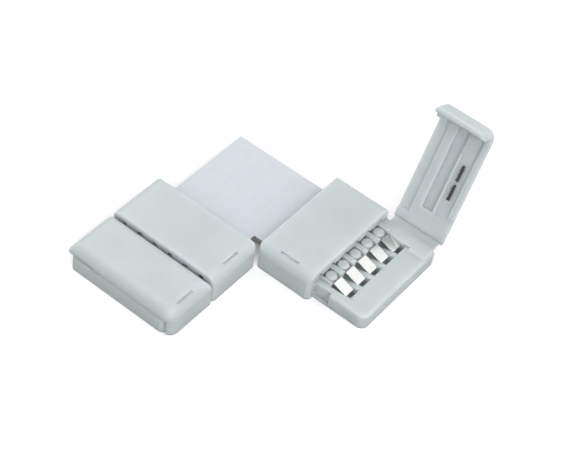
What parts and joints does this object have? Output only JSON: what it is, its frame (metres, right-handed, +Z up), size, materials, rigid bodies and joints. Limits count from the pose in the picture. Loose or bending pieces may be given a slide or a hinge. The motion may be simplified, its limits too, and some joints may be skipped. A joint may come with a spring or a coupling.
{
  "type": "led strip connector",
  "caption": "Solderless corner connector for flexible light strip: L-shaped board with a hinged strip clip on each arm, one shut and one open.",
  "frame": {"origin": "where the centre lines of the two strips cross, on the plane that the connector lies on", "axes": "+X outwards along the open clip, -Y outwards along the shut clip, +Z up out of the tops"},
  "size_m": [0.032, 0.0402, 0.0178],
  "materials": {
    "housing_plastic": "satin, slightly milky",
    "board": "white solder mask",
    "contact_metal": "bright tin plate",
    "grip_metal": "dark",
    "solder": "satin solder"
  },
  "bodies": {
    "frame": {"corner_board": "board", "left_base": "housing_plastic", "left_housing": "housing_plastic", "left_film_hinge": "housing_plastic", "left_solder_joints": "solder", "left_contact_1": "contact_metal", "left_contact_2": "contact_metal", "left_contact_3": "contact_metal", "left_contact_4": "contact_metal", "left_contact_5": "contact_metal", "right_base": "housing_plastic", "right_housing": "housing_plastic", "right_film_hinge": "housing_plastic", "right_solder_joints": "solder", "right_contact_1": "contact_metal", "right_contact_2": "contact_metal", "right_contact_3": "contact_metal", "right_contact_4": "contact_metal", "right_contact_5": "contact_metal"},
    "left_lid": {"left_lid": "housing_plastic", "left_grip_1": "grip_metal", "left_grip_2": "grip_metal"},
    "right_lid": {"right_lid": "housing_plastic", "right_grip_1": "grip_metal", "right_grip_2": "grip_metal"}
  },
  "joints": [
    {"name": "left_lid_hinge", "type": "hinge", "parent": "frame", "child": "left_lid", "pos_m": [-0.00823, -0.0201, 0.00214], "axis": [0, -1, 0], "range_deg": [0, 125], "deforming": ["left_film_hinge"]},
    {"name": "right_lid_hinge", "type": "hinge", "parent": "frame", "child": "right_lid", "pos_m": [0.0201, 0.00823, 0.00214], "axis": [-1, 0, 0], "range_deg": [-115, 10], "deforming": ["right_film_hinge"]}
  ]
}
